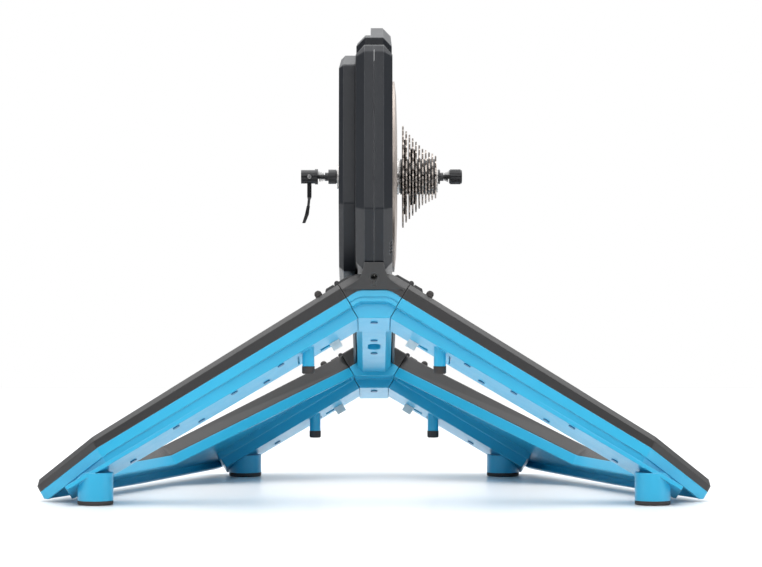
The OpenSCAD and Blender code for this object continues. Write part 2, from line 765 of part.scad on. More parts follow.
// Housing.
module body_solid(grow) {
    hull() {
        plate(body_line(-grow), -rim_half - grow, rim_half + grow);
        plate(body_line(body_bevel - grow), -body_half - grow, body_half + grow);
    }
}

module half_shell(side) {
    mirror([side < 0 ? 1 : 0, 0, 0]) difference() {
        hull() {
            plate(body_line(0), 0.15, rim_half);
            plate(body_line(body_bevel), 0.15, body_half);
        }
        hull() {
            plate(body_line(body_wall), -1, rim_half - body_wall / 2);
            plate(body_line(body_bevel + body_wall), -1, body_half - body_wall);
        }
        on_axle() translate([0, 0, rim_half])
            cylinder(r = side > 0 ? motor_hole_r : rotor_r + 3, h = body_half, $fn = 96);
        socket_place() socket_shape(0.2, -socket_deep - 0.3, 5);
    }
}

module body_shell_right() color([0.17, 0.19, 0.21]) difference() {
    half_shell(1);
    for (k = [0 : 3]) translate([body_half - 1.5, axle_row_y, axle_z]) rotate([5 * facet - tilt, 0, 0])
        translate([0, body_r - body_bevel, vent_step * (k - 1.5) - 32.3])
        rotate([0, 35, 0]) cube([vent_w * 4, vent_len, vent_w], center = true);
}

module body_shell_left() color([0.15, 0.17, 0.19]) half_shell(-1);

// Top cap: raised moulding along the housing's top, lower on its left half.
cap_back = body_rear_top + cap_setback * slope_dir(body_top_slope) + [0, seat];
cap_front = body_top_front + [-9, seat];
cap_crest = cap_front + (total_h - cap_front.y) * [-0.15, 1];
cap_start = meet(cap_crest, slope_dir(cap_slope), cap_back + [1, 0], [0, 1]);
function cap_outline(slope) = [cap_back, cap_front,
    meet(cap_start, slope_dir(slope), cap_front, [-0.15, 1]), cap_start];

module cap_half(slope, from, to, bevel_x) {
    hull() {
        plate(cap_outline(slope), from, bevel_x);
        plate(lower_cap(cap_outline(slope)), from, to);
    }
}

function lower_cap(p) = [p[0] + [2, -10], p[1] + [2, -10], p[2] + [-2, -10], p[3] + [2, -10]];

module top_cap() color([0.5, 0.5, 0.52]) difference() {
    union() {
        cap_half(cap_slope, -ridge_w / 2 - 2, body_half - 0.6, rim_half - 0.6);
        mirror([1, 0, 0]) cap_half(cap_low_slope, 1, body_half - 0.6, rim_half - 0.6);
    }
    body_solid(seat);
    plate(inset(cap_outline(cap_low_slope), cover_wall), -rim_half + 1, rim_half - 1);
    plate(lower_cap(inset(cap_outline(cap_low_slope), cover_wall)), -body_half + 5, body_half - 5);
}

// Motor cover on the left flank.
module motor_cover() color([0.2, 0.22, 0.24]) difference() {
    hull() {
        plate(cover_line(0), -cover_face + cover_bevel, -body_half - seat);
        plate(cover_line(cover_bevel), -cover_face, -body_half - seat);
    }
    plate(cover_line(cover_bevel + cover_wall), -cover_face + cover_wall, 0);
    ring(axle_r + 0.1, 0, -cover_face - 1, -cover_face + cover_wall + 1);
    mast_room();
}

// Motor mast: the steel plate bolted to the spine's left flank that carries the axle.
mast_in = spine_half + seat;
mast_out = mast_in + mast_t;
function on_spine(s, h) = [spine_y(s, h), root_z - s * sin(tilt) + h * cos(tilt)];
axle_s = spine_s(axle_y, axle_z);
axle_h = spine_h(axle_y, axle_z);

module mast_room() {
    plate([on_spine(axle_s - mast_w / 2 - 0.5, -spine_low), on_spine(axle_s + mast_w / 2 + 0.5, -spine_low),
        on_spine(axle_s + mast_w / 2 + 0.5, 40), on_spine(axle_s - mast_w / 2 - 0.5, 40)],
        -mast_out - 0.5, -mast_in + 0.5);
}

module motor_mast() color([0.6, 0.6, 0.62]) difference() {
    union() {
        plate([on_spine(axle_s - mast_w / 2, 8 - spine_low), on_spine(axle_s + mast_w / 2, 8 - spine_low),
            on_spine(axle_s + mast_w / 2, 30), on_spine(axle_s + 24, axle_h + 4),
            on_spine(axle_s - 24, axle_h + 4), on_spine(axle_s - mast_w / 2, 30)],
            -mast_out, -mast_in);
        ring(24, axle_r, -mast_out - 9, -mast_in);
    }
    ring(axle_r, 0, -mast_out - 10, 0);
}

// Motor: fixed stator inside a rotor cup with magnets in its rim.
magnet_r = rotor_r - rotor_rim;
stator_r = magnet_r - magnet_t - air_gap;
tooth_len = 14;
rotor_low = rotor_face - rotor_deep;
stator_x = rotor_low + 1;
carrier_x = -mast_in;

module around(n) for (k = [0 : n - 1]) rotate([0, 0, 360 * k / n]) children();

module stator_core() color([0.35, 0.35, 0.37]) on_axle() translate([0, 0, stator_x]) difference() {
    union() {
        difference() {
            cylinder(r = stator_r - tooth_len, h = stator_h, $fn = 96);
            translate([0, 0, -1]) cylinder(r = stator_r - tooth_len - stator_back, h = stator_h + 2, $fn = 96);
        }
        around(teeth) translate([stator_r - tooth_len - 1, -tooth_w / 2, 0])
            cube([tooth_len, tooth_w, stator_h]);
    }
}

module stator_coils() color([0.72, 0.4, 0.18]) on_axle() translate([0, 0, stator_x]) around(teeth)
    translate([stator_r - tooth_len + 1, 0, 0]) difference() {
        translate([0, -tooth_w / 2 - coil_wall, -coil_wall / 2])
            cube([tooth_len - 5, tooth_w + 2 * coil_wall, stator_h + coil_wall]);
        translate([-1, -tooth_w / 2 - 0.1, -0.1])
            cube([tooth_len, tooth_w + 0.2, stator_h + 0.2]);
    }

module stator_carrier() color([0.7, 0.71, 0.73]) on_axle() difference() {
    union() {
        translate([0, 0, carrier_x]) cylinder(r = stator_r - tooth_len - 1, h = carrier_t, $fn = 96);
        translate([0, 0, carrier_x + carrier_t - eps]) difference() {
            cylinder(r = stator_r - tooth_len - stator_back, h = stator_h - 2, $fn = 96);
            translate([0, 0, -1]) cylinder(r = stator_r - tooth_len - stator_back - 4, h = stator_h, $fn = 96);
        }
        translate([0, 0, carrier_x]) cylinder(r = 20, h = carrier_t + 4, $fn = 64);
    }
    translate([0, 0, carrier_x - 1]) cylinder(r = axle_r, h = 80, $fn = 64);
    around(6) translate([carrier_hole_ring, 0, carrier_x - 1]) cylinder(r = carrier_hole_r, h = 80, $fn = 48);
}

module circuit_board() color([0.1, 0.4, 0.2])
    ring(board_r, board_bore_r, -mast_out - seat - 1.6, -mast_out - seat);

module rotor() color([0.45, 0.46, 0.48]) on_axle() difference() {
    union() {
        translate([0, 0, rotor_face - rotor_t]) cylinder(r = rotor_r, h = rotor_t, $fn = 128);
        translate([0, 0, rotor_low]) difference() {
            cylinder(r = rotor_r, h = rotor_deep, $fn = 128);
            translate([0, 0, -1]) cylinder(r = magnet_r, h = rotor_deep + 2, $fn = 128);
        }
        translate([0, 0, rotor_low + 8]) cylinder(r = hub_r, h = hub_end - rotor_low - 8, $fn = 64);
    }
    translate([0, 0, rotor_low]) cylinder(r = bearing_r + pin_play, h = 80, $fn = 64);
    around(6) translate([rotor_hole_ring, 0, rotor_low]) cylinder(r = rotor_hole_r, h = 60, $fn = 48);
}

hub_end = cog_x(0) - 5;

module rotor_magnets() color([0.75, 0.75, 0.78]) on_axle() translate([0, 0, stator_x]) around(magnets)
    difference() {
        intersection() {
            translate([0, 0, 0]) cylinder(r = magnet_r, h = stator_h, $fn = 128);
            translate([magnet_r - magnet_t, -magnet_w / 2, 0]) cube([magnet_t + 1, magnet_w, stator_h]);
        }
    }

module hub_bearings() color([0.8, 0.8, 0.82]) {
    ring(bearing_r, axle_r, rotor_low + 9, rotor_low + 9 + bearing_w);
    ring(bearing_r, axle_r, hub_end - bearing_w - 1, hub_end - 1);
    ring(freehub_r - 4, axle_r, hub_end + 2, hub_end + 2 + bearing_w);
    ring(freehub_r - 4, axle_r, cog_x(10) - 10, cog_x(10) - 10 + bearing_w);
}

// Drive-side disc: a shallow dome with a ring of slots.
module drive_disc() color([0.75, 0.74, 0.72]) on_axle() difference() {
    rotate_extrude($fn = 128) polygon([[disc_bore_r, disc_face - disc_t], [disc_bore_r, disc_face],
        [disc_r * 0.55, disc_face], [disc_r * 0.85, disc_face - disc_drop / 3],
        [disc_r, disc_face - disc_drop], [disc_r, body_half + seat],
        [disc_r - disc_t, body_half + seat], [disc_r - disc_t, disc_face - disc_drop - disc_t],
        [disc_r * 0.84, disc_face - disc_drop / 3 - disc_t], [disc_r * 0.54, disc_face - disc_t]]);
    around(slots) translate([slot_ring_r - slot_len / 2, -slot_w / 2, 0])
        cube([slot_len, slot_w, 60]);
}

// Axle, fixed, with its spacer, boss and end cap.
axle_stop_left = -axle_left + spacer_len;
axle_stop_right = cog_x(10) - 3;
module axle() color([0.35, 0.36, 0.38]) on_axle() difference() {
    union() {
        translate([0, 0, axle_stop_left - spigot_len])
            cylinder(r = spigot_r, h = axle_stop_right - axle_stop_left + 2 * spigot_len, $fn = 64);
        translate([0, 0, axle_stop_left]) cylinder(r = axle_r, h = axle_stop_right - axle_stop_left, $fn = 64);
    }
    translate([0, 0, -axle_left]) cylinder(r = axle_bore_r, h = dropout_gap, $fn = 48);
}

// An adapter from its seat on the axle out to its stub, running towards +z.
module adapter(r, len) difference() {
    union() {
        cylinder(r = r, h = len, $fn = 64);
        cylinder(r = stub_r, h = len + stub_len, $fn = 64);
    }
    translate([0, 0, -1]) cylinder(r = spigot_r, h = spigot_len + 1, $fn = 64);
    translate([0, 0, -1]) cylinder(r = axle_bore_r, h = len + stub_len + 2, $fn = 48);
}

module axle_spacer() color([0.1, 0.1, 0.11]) on_axle() translate([0, 0, axle_stop_left])
    mirror([0, 0, 1]) adapter(spacer_r, spacer_len);

module axle_boss() color([0.78, 0.78, 0.75]) ring(boss_r, axle_r, -cover_face - 3.6, -cover_face);

module end_cap() color([0.5, 0.5, 0.52]) {
    on_axle() translate([0, 0, axle_stop_right]) adapter(spacer_r, drive_face - axle_stop_right);
    ring(12, spacer_r - 0.5, axle_stop_right + 0.4, axle_stop_right + 1.6);
}

// Cassette and freehub.
function cog_pitch_r(n) = chain_pitch / (2 * sin(180 / n));
function cog_points(n) = let (rp = cog_pitch_r(n), tip = rp + 2.6, root = rp - 3.9, step = 360 / n)
    [for (k = [0 : n - 1], q = [[-0.5, root], [-0.24, root + 0.6], [-0.09, tip], [0.09, tip],
        [0.24, root + 0.6]]) q[1] * [cos((k + q[0]) * step), sin((k + q[0]) * step)]];

module cog(i, bore) {
    on_axle() translate([0, 0, cog_x(i) - cog_t / 2]) linear_extrude(cog_t) difference() {
        polygon(cog_points(cog_teeth[i]));
        circle(r = bore, $fn = 64);
        if (cog_teeth[i] > 18) around(10) translate([(bore + cog_pitch_r(cog_teeth[i]) - 4) / 2, 0])
            circle(r = min(4, (cog_pitch_r(cog_teeth[i]) - 9 - bore) / 2.4), $fn = 24);
    }
}

carrier_bore = freehub_r + spline_h + spline_play;
spider_r = 44;
medium_r = 33;

module freehub_body() color([0.6, 0.61, 0.63]) on_axle() difference() {
    union() {
        translate([0, 0, hub_end + 0.5]) cylinder(r = freehub_r, h = cog_x(10) - hub_end, $fn = 64);
        translate([0, 0, hub_end + 0.5]) around(splines)
            translate([freehub_r - 1, -1.6, 1.4]) cube([spline_h + 1, 3.2, cog_x(10) - hub_end - 1.4]);
        translate([0, 0, hub_end + 0.5]) cylinder(r = freehub_r + 2.4, h = 1.4, $fn = 64);
    }
    translate([0, 0, hub_end]) cylinder(r = freehub_r - 4 + pin_play, h = 80, $fn = 64);
}

// An arm of a sprocket carrier, from its sleeve out to the rim of its sprockets.
module spider(from, to, r, arms) {
    difference() {
        union() {
            ring(carrier_bore + 3, carrier_bore, from, to);
            on_axle() translate([0, 0, from]) around(arms) rotate([0, 0, 12])
                translate([carrier_bore + 1, -3.2, 0]) cube([r - carrier_bore - 1, 6.4, to - from]);
        }
        ring(carrier_bore, 0, from - 1, to + 1);
    }
}

module large_spider() color([0.06, 0.06, 0.07])
    spider(cog_x(0) + cog_t / 2, cog_x(1) - cog_t / 2, spider_r, 7);

module medium_spider() color([0.06, 0.06, 0.07]) {
    spider(cog_x(2) + cog_t / 2, cog_x(3) - cog_t / 2, medium_r, 6);
    spider(cog_x(3) + cog_t / 2, cog_x(4) - cog_t / 2, medium_r - 1, 6);
}

module sprockets_large() color([0.8, 0.79, 0.77]) for (i = [0, 1]) cog(i, carrier_bore + 3.1);
module sprockets_medium() color([0.8, 0.79, 0.77]) for (i = [2 : 4]) cog(i, carrier_bore + 3.1);
module small_cog(i) color([0.78, 0.76, 0.72]) cog(i, carrier_bore);
module sprocket_17() small_cog(5);
module sprocket_15() small_cog(6);
module sprocket_14() small_cog(7);
module sprocket_13() small_cog(8);
module sprocket_12() small_cog(9);
module sprocket_11() small_cog(10);

module cassette_spacers() color([0.07, 0.07, 0.08]) {
    ring(carrier_bore + 3, carrier_bore, cog_x(1) - cog_t / 2, cog_x(2) + cog_t / 2);
    ring(carrier_bore + 3, carrier_bore, hub_end + 2, cog_x(0) + cog_t / 2);
    for (i = [4 : 9]) ring(carrier_bore + 3, carrier_bore, cog_x(i) + cog_t / 2, cog_x(i + 1) - cog_t / 2);
    ring(carrier_bore + 3, carrier_bore, cog_x(4) - cog_t / 2, cog_x(4) + cog_t / 2);
}

module lockring() color([0.55, 0.54, 0.52]) ring(lockring_r, 12.6, cog_x(10) + cog_t / 2, cog_x(10) + cog_t / 2 + 1.6);

// Quick release.
rod_left = -head_face - 3.2;
module skewer_rod() color([0.7, 0.7, 0.72]) on_axle() translate([0, 0, rod_left])
    cylinder(r = rod_r, h = nut_face + 9 - rod_left, $fn = 48);

cam_x = -head_face - cam_pin_in;

module cam_axis(r, h) {
    translate([cam_x, axle_row_y, axle_z]) rotate([90, 0, 0]) translate([0, 0, -h / 2])
        cylinder(r = r, h = h, $fn = 48);
}

module skewer_head() color([0.08, 0.08, 0.09]) difference() {
    union() {
        on_axle() translate([0, 0, -head_face - head_len]) cylinder(r = head_r, h = head_len, $fn = 64);
        on_axle() translate([0, 0, -head_face - 3.4]) cylinder(r = head_r + 0.5, h = 3.4, $fn = 64);
    }
    translate([-head_face - head_len - 1, axle_row_y - lever_slot / 2, axle_z - head_r - 2])
        cube([head_len - 2.4, lever_slot, 2 * head_r + 4]);
    on_axle() translate([0, 0, -head_face - 4]) cylinder(r = rod_r, h = 10, $fn = 48);
    cam_axis(cam_pin_r, 40);
}

module cam_pin() color([0.7, 0.7, 0.72]) cam_axis(cam_pin_r, 2 * head_r - 0.6);

// A point of the lever's line: distance outwards from the cam pin, and drop.
module lever_bar(x1, d1, t1, w1, x2, d2, t2, w2) {
    hull() {
        translate([cam_x - x1 - t1 / 2, axle_row_y - w1 / 2, axle_z - d1]) cube([t1, w1, 0.1]);
        translate([cam_x - x2 - t2 / 2, axle_row_y - w2 / 2, axle_z - d2]) cube([t2, w2, 0.1]);
    }
}

module skewer_lever() color([0.05, 0.05, 0.05]) difference() {
    union() {
        cam_axis(cam_r, cam_t);
        lever_bar(0, cam_r - 3, 5, cam_t, 0, cam_r + 18, 5, cam_t);
        lever_bar(0, cam_r + 18, 4.6, cam_t, 0.4, cam_r + 21, 3, 8);
        lever_bar(0.4, cam_r + 21, 3, 8, 1.2, lever_straight, 2.8, 10);
        lever_bar(1.2, lever_straight, 3.6, 10, lever_bend * 0.45, (lever_straight + lever_reach) / 2, 4.4, 11);
        lever_bar(lever_bend * 0.45, (lever_straight + lever_reach) / 2, 4.4, 11, lever_bend, lever_reach, 3.4, 9);
    }
    cam_axis(cam_pin_r + pin_play, cam_t + 2);
}

// A spring's wire: a conical helix along X with straight ends.
rings_per_curl = 8;
wire_sides = 6;
function spring_points(x1, x2, r1, r2, curls) = let (n = curls * rings_per_curl,
        lead = wire_d)
    concat([[x1, r1, -lead]],
        [for (k = [0 : n]) let (t = k / n, a = 360 * k / rings_per_curl, r = r1 + (r2 - r1) * t)
            [x1 + (x2 - x1) * t, r * cos(a), r * sin(a)]],
        [[x2, r2, lead]]);
function tangent(p, i) = unit(p[min(i + 1, len(p) - 1)] - p[max(i - 1, 0)]);
function tube_points(p) = [for (i = [0 : len(p) - 1]) let (t = tangent(p, i),
        side = unit(cross(t, [1, 0, 0])), up = cross(side, t))
    for (k = [0 : wire_sides - 1]) p[i] + wire_d / 2 * (cos(k * 360 / wire_sides) * side
        + sin(k * 360 / wire_sides) * up)];
function tube_faces(n) = concat(
    [for (k = [1 : wire_sides - 2]) [0, k + 1, k]],
    [for (i = [0 : n - 2], k = [0 : wire_sides - 1]) let (a = i * wire_sides + k,
        b = i * wire_sides + (k + 1) % wire_sides) for (f = [[a, b, a + wire_sides],
        [b, b + wire_sides, a + wire_sides]]) f],
    [for (k = [1 : wire_sides - 2]) let (e = (n - 1) * wire_sides) [e, e + k, e + k + 1]]);
function self_gap(p, curls) = min([for (i = [1 : len(p) - 2 - rings_per_curl])
    norm(p[i + rings_per_curl] - p[i])]) - wire_d;

module spring(x1, x2, r1, r2, curls) {
    p = spring_points(x1, x2, r1, r2, curls);
    echo(least_gap = self_gap(p, curls));
    translate([0, axle_row_y, axle_z]) polyhedron(tube_points(p), tube_faces(len(p)));
}

spring_room = wire_d / 2 + 0.2;
module left_spring() color([0.4, 0.4, 0.42])
    spring(-head_face + spring_room, -axle_left - stub_len - spring_room, spring_wide, spring_narrow, left_curls);
module right_spring() color([0.4, 0.4, 0.42])
    spring(nut_face - spring_room, drive_face + stub_len + spring_room, spring_wide, spring_narrow, right_curls);

module skewer_nut() color([0.1, 0.1, 0.11]) on_axle() difference() {
    union() {
        translate([0, 0, nut_face]) cylinder(r = nut_r - 0.7, h = nut_len, $fn = 64);
        translate([0, 0, nut_face + 1.4]) around(18)
            translate([nut_r - 1.4, -0.9, 0]) cube([1.4, 1.8, nut_len - 2.8]);
        translate([0, 0, nut_face]) cylinder(r = nut_r - 1.6, h = nut_len + 0.4, $fn = 64);
    }
    translate([0, 0, nut_face - 1]) cylinder(r = rod_r + pin_play, h = nut_len - 2, $fn = 48);
}

// Wings.
module tapered(children_angle) rotate([0, children_angle, 0]) children();

module cover_block(in, low, drop) {
    hull() {
        slab(wing_line(in), low, low + 0.1);
        tapered(cover_taper) slab(wing_line(in), -cover_chamfer - drop - 0.1, -cover_chamfer - drop);
        tapered(cover_taper) slab(wing_line(in + cover_chamfer), -drop - 0.1, -drop);
    }
}

module gap_block(out, low, drop) {
    hull() {
        slab(gap_line(out), low, low + 0.1);
        tapered(cover_taper) slab(gap_line(out), -cover_chamfer - drop - 0.1, -cover_chamfer - drop);
        tapered(cover_taper) slab(gap_line(out + cover_chamfer), -drop, 1);
    }
}

module wing_cover(side) color([0.12, 0.13, 0.14]) wing_place(side) difference() {
    cover_block(0, -cover_t + seat, 0);
    gap_block(0, -cover_t - 1, 0);
    difference() {
        cover_block(cover_wall, -cover_t - 1, cover_wall);
        gap_block(cover_wall, -cover_t - 2, cover_wall);
        root_side(split_gap + cover_wall);
    }
    root_side(split_gap);
}

rear_rib = [[split_gap, rib_root_at], [rear_rib_len, rib_end_at],
    [rear_rib_len, rib_end_at + rib_w], [split_gap, rib_root_at + rib_w]];
front_rib = [[split_gap, front_rib_at], [front_rib_len, front_rib_at + 14],
    [front_rib_len, front_rib_at + 14 + front_rib_w], [split_gap, front_rib_at + front_rib_w]];

// Everything nearer the root than a distance out.
module root_side(a) translate([a - cut, -cut, -cut]) cube([cut, 4 * cut, 2 * cut]);

module wing_shape() {
    difference() {
        polygon(wing_line(0));
        polygon(gap_line(0));
        translate([split_gap - cut, -cut]) square([cut, 4 * cut]);
    }
}

module wing_pockets() {
    difference() {
        polygon(wing_line(cast_skin + 1));
        polygon(gap_line(cast_skin + 1));
        polygon(inset(rear_rib, -1));
        polygon(inset(front_rib, -1));
        translate([split_gap + cast_skin - cut, -cut]) square([cut, 4 * cut]);
    }
}

// The rear rib keeps a straight flange along its foot where the lip turns away above it.
module rear_rib_blank() {
    translate([0, 0, -root_t]) linear_extrude(root_t - cover_t - lip_t + 1) intersection() {
        polygon(rear_rib);
        polygon(wing_line(flange_in));
    }
    difference() {
        slab(rear_rib, -root_t, -cover_t - lip_t);
        rotate([0, -rib_taper, 0]) translate([-beyond, -beyond, flange_t - root_t])
            cube([3 * cut, 3 * cut, cut]);
    }
}

module rear_rib_hollow() {
    translate([0, 0, -root_t + cast_skin + latch_deep]) linear_extrude(root_t) intersection() {
        polygon(inset(rear_rib, cast_skin));
        polygon(wing_line(flange_in + cast_skin));
    }
}

module rib_below(top) {
    rotate([0, -rib_taper, 0]) translate([-beyond, -beyond, top - cut]) cube([3 * cut, 3 * cut, cut]);
}

module world_in_wing(side) {
    rotate([0, -wing_drop, 0]) translate([-root_x, 0, 0]) rotate([tilt, 0, 0])
        translate([0, -y_shift, -root_z]) children();
}

foot_places = [[rear_foot_x, 0], [front_foot_x, foot_rows]];
post_places = [[post_x, rear_post_y], [post_x, front_post_y]];
function under_z(x, y) = root_z - y * tan(tilt) - (root_t - root_x * sin(wing_drop)) / (cos(wing_drop) * cos(tilt))
    - x * tan(wing_drop) / cos(tilt);

module latch_pockets() {
    for (s = [rear_rib[3].y - latch_w, front_rib[3].y - latch_w - 2])
        translate([latch_out, s - latch_w / 2, -root_t - 2]) cube([latch_pocket, latch_w, latch_deep + 2]);
}

rib_screws = [[100, 21], [160, 26], [235, 32], [294, 84], [205, 78], [120, 70]];
front_screws = [[60, 46], [120, 50], [180, 66]];

slot_line_at = 77;
slot_line_from = 28;

module wing_screw_places() {
    tapered(-rib_taper) for (p = rib_screws) translate([p[0], rear_start + p[1], -root_t]) children();
    tapered(-rib_taper) for (p = front_screws) translate([p[0], front_rib_at + p[1], -root_t]) children();
}

module wing_frame(side) color([0.22, 0.62, 0.85]) wing_place(side) difference() {
    union() {
        difference() {
            translate([0, 0, -cover_t - lip_t]) linear_extrude(lip_t) wing_shape();
            translate([0, 0, -cover_t - lip_t - 1]) linear_extrude(lip_t - cast_skin + 1) wing_pockets();
        }
        difference() {
            union() {
                rear_rib_blank();
                slab(front_rib, -root_t, -cover_t - lip_t + 1);
            }
            rib_below(-root_t);
        }
        world_in_wing(side) foot_posts();
    }
    rear_rib_hollow();
    slab(inset(front_rib, cast_skin), -root_t + cast_skin + latch_deep, -cover_t + 1);
    world_in_wing(side) difference() {
        translate([-100, -2 * cut, -cut]) cube([3 * cut, 4 * cut, cut + floor_gap]);
        foot_posts();
    }
    latch_pockets();
    translate([slot_line_at, slot_line_from, -root_t - 1]) cube([slot_line_w, slot_line_len, 4]);
    wing_screw_places() screw_hole();
    translate([split_gap, rear_start, -cover_t - lip_t]) rotate([0, 0, atan(rear_edge_slope)])
        translate([-1, -1, -groove / 2]) cube([kink_out - 4, 1 + groove, groove]);
}

module foot_posts() {
    difference() {
        union() {
            for (p = foot_places) translate([p[0], p[1] + y_shift, pad_h])
                cylinder(r = foot_d / 2, h = under_z(p[0], p[1]) + 2, $fn = 64);
            for (p = post_places) translate([p[0], p[1] + y_shift, under_z(p[0], p[1]) - post_len])
                cylinder(r = post_d / 2 - 0.4, h = post_len + 8, $fn = 48);
        }
        spine_frame() translate([root_x, 0, 0]) rotate([0, wing_drop, 0])
            translate([-cut, -cut, -root_t + cast_skin + latch_deep]) cube([4 * cut, 4 * cut, cut]);
    }
}

module wing_rubber(side) color([0.06, 0.06, 0.06]) mirror([side < 0 ? 1 : 0, 0, 0]) {
    for (p = foot_places) translate([p[0], p[1] + y_shift, 0]) rotate_extrude($fn = 64)
        polygon(concat([[0, 0]], [for (a = [0 : 22.5 : 90]) [foot_d / 2 - pad_round + pad_round * sin(a),
            pad_round - pad_round * cos(a)]], [[foot_d / 2, pad_h], [0, pad_h]]));
    for (p = post_places) translate([p[0], p[1] + y_shift, under_z(p[0], p[1]) - post_len - post_cap])
        rotate_extrude($fn = 48) polygon([[0, 0], [post_d / 2 - 1.2, 0], [post_d / 2, 1.2],
            [post_d / 2, post_cap], [0, post_cap]]);
    wing_place(1) tapered(cover_taper) for (s = nub_places) translate([nub_out, s, 0.02])
        rotate_extrude($fn = 48) polygon([[0, 0], [nub_d / 2, 0], [nub_d / 2, nub_h - 3],
            [nub_d / 2 - 1, nub_h - 1], [nub_d / 2 - 2.5, nub_h], [0, nub_h]]);
}

nub_places = [rear_start + 12, front_start + 14];
hinge_places = [rear_start + 14, front_start + 22];

module wing_screws(side) color([0.15, 0.35, 0.5]) wing_place(side) wing_screw_places() screw();

// Surface hinges: each has two outer knuckles on the base and one between on the wing.
knuckle = hinge_len / 3;

module knuckle_tube(from, len) {
    translate([0, from + len, hinge_rise]) rotate([90, 0, 0]) cylinder(r = knuckle_r, h = len, $fn = 48);
}

// A strip of a leaf on one side of its hinge's axis, with its outer edge bevelled.
module leaf(side, near, far, from, len) {
    translate([0, from + len, 0]) rotate([90, 0, 0]) linear_extrude(len)
        polygon([for (p = [[near, 0], [far, 0], [far, leaf_t - leaf_bevel], [far - leaf_bevel, leaf_t],
            [near, leaf_t]]) [side * p[0], p[1]]]);
}

module center_hinge_leaves() color([0.07, 0.07, 0.08]) for (side = [-1, 1]) wing_place(side) difference() {
    for (s = hinge_places) {
        for (k = [0, 2]) {
            knuckle_tube(s + k * knuckle, knuckle);
            leaf(-1, 0, leaf_reach, s + k * knuckle, knuckle);
        }
        leaf(-1, knuckle_r + 0.5, leaf_reach, s, hinge_len);
    }
    for (s = hinge_places) translate([0, s + hinge_len + 1, hinge_rise]) rotate([90, 0, 0])
        cylinder(d = hinge_pin_d, h = hinge_len + 2, $fn = 48);
}

module hinge_pins() color([0.65, 0.65, 0.67]) for (side = [-1, 1]) wing_place(side)
    for (s = hinge_places) translate([0, s + hinge_len, hinge_rise]) rotate([90, 0, 0])
        cylinder(d = hinge_pin_d, h = hinge_len, $fn = 48);

module wing_leaves(side) color([0.07, 0.07, 0.08]) wing_place(side) difference() {
    for (s = hinge_places) {
        knuckle_tube(s + knuckle + knuckle_gap, knuckle - 2 * knuckle_gap);
        leaf(1, split_gap, wing_leaf_reach, s + knuckle + knuckle_gap, knuckle - 2 * knuckle_gap);
        leaf(1, knuckle_r + 1, wing_leaf_reach, s, hinge_len);
    }
    for (s = hinge_places) translate([0, s + hinge_len + 1, hinge_rise]) rotate([90, 0, 0])
        cylinder(r = hinge_pin_d / 2 + pin_play, h = hinge_len + 2, $fn = 48);
}

// Latch clips: small translucent sliders in pockets under the ribs.
module latch(side, s) color([0.85, 0.9, 0.88]) wing_place(side) difference() {
    union() {
        translate([latch_out + latch_play, s - latch_w / 2 + latch_play, -root_t])
            cube([latch_len, latch_w - 2 * latch_play, latch_deep - latch_play]);
        translate([latch_out + latch_play, s - latch_w / 2 + latch_play, -root_t - latch_tab])
            cube([latch_len, latch_tab_t, latch_tab + eps]);
    }
}

module left_rear_latch() latch(-1, rear_rib[3].y - latch_w);
module left_front_latch() latch(-1, front_rib[3].y - latch_w - 2);
module right_rear_latch() latch(1, rear_rib[3].y - latch_w);
module right_front_latch() latch(1, front_rib[3].y - latch_w - 2);
module left_wing_frame() wing_frame(-1);
module left_wing_cover() wing_cover(-1);
module left_wing_leaves() wing_leaves(-1);
module left_wing_rubber() wing_rubber(-1);
module left_wing_screws() wing_screws(-1);
module right_wing_frame() wing_frame(1);
module right_wing_cover() wing_cover(1);
module right_wing_leaves() wing_leaves(1);
module right_wing_rubber() wing_rubber(1);
module right_wing_screws() wing_screws(1);

base_spine();
base_cover();
rear_cover();
spine_screws();
center_hinge_leaves();
hinge_pins();
power_socket();
socket_contacts();
body_shell_right();
body_shell_left();
top_cap();
motor_cover();
motor_mast();
stator_carrier();
stator_core();
stator_coils();
circuit_board();
drive_disc();
axle();
axle_spacer();
axle_boss();
end_cap();
hub_bearings();
rotor();
rotor_magnets();
freehub_body();
large_spider();
medium_spider();
sprockets_large();
sprockets_medium();
sprocket_17();
sprocket_15();
sprocket_14();
sprocket_13();
sprocket_12();
sprocket_11();
cassette_spacers();
lockring();
skewer_rod();
skewer_head();
cam_pin();
skewer_lever();
left_spring();
right_spring();
skewer_nut();
left_wing_frame();
left_wing_cover();
left_wing_leaves();
left_wing_rubber();
left_wing_screws();
left_rear_latch();
left_front_latch();
right_wing_frame();
right_wing_cover();
right_wing_leaves();
right_wing_rubber();
right_wing_screws();
right_rear_latch();
right_front_latch();
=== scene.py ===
import math

import bmesh
import bpy
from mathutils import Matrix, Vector


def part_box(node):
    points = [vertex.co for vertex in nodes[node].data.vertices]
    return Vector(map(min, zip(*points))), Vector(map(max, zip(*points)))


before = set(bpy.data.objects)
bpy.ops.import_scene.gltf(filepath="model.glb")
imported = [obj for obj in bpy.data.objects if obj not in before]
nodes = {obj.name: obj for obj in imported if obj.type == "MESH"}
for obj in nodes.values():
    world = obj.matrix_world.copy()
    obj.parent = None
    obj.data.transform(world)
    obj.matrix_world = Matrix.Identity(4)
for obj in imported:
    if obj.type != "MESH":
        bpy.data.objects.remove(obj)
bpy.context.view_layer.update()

# Studio: a pale floor in a white cove, lit from above, from high behind the trainer and low
# from both sides. A long lens looks at the trainer from behind, with the dim end of the room
# at the camera's back.
floor_half = 2.6
floor_drop = 0.0004
floor_mesh = bmesh.new()
bmesh.ops.create_grid(floor_mesh, x_segments=1, y_segments=1, size=floor_half)
bmesh.ops.translate(floor_mesh, vec=(0, 0, -floor_drop), verts=floor_mesh.verts)
floor_data = bpy.data.meshes.new("studio_floor")
floor_mesh.to_mesh(floor_data)
floor_mesh.free()
studio_floor = bpy.data.objects.new("studio_floor", floor_data)
